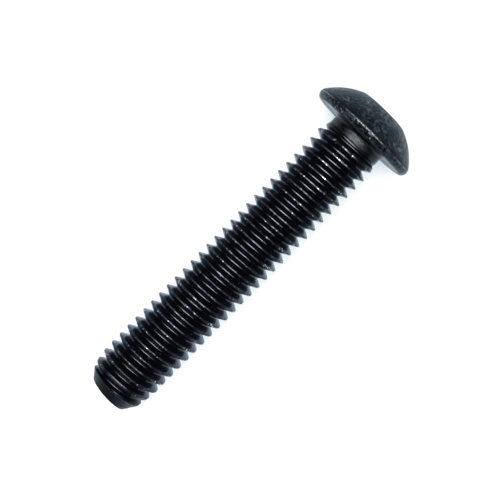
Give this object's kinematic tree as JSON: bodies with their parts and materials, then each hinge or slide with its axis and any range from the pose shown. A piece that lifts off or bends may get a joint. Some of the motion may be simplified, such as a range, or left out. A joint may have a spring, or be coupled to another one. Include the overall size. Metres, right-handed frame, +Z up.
{
  "type": "machine screw",
  "caption": "Long button head machine screw with a hexagon socket, a rolled right-hand thread and a chamfered point, lying on its side as it comes to rest.",
  "frame": {"origin": "on the floor under the middle of the screw as it lies, below its axis", "axes": "+X towards the head along the floor, +Z up; the screw's own axis lies in the XZ plane and rises 4.3 degrees towards the head"},
  "size_m": [0.0348, 0.0104, 0.0103],
  "materials": {
    "black_oxide_steel": "satin"
  },
  "bodies": {
    "root": {"screw": "black_oxide_steel"}
  },
  "joints": []
}
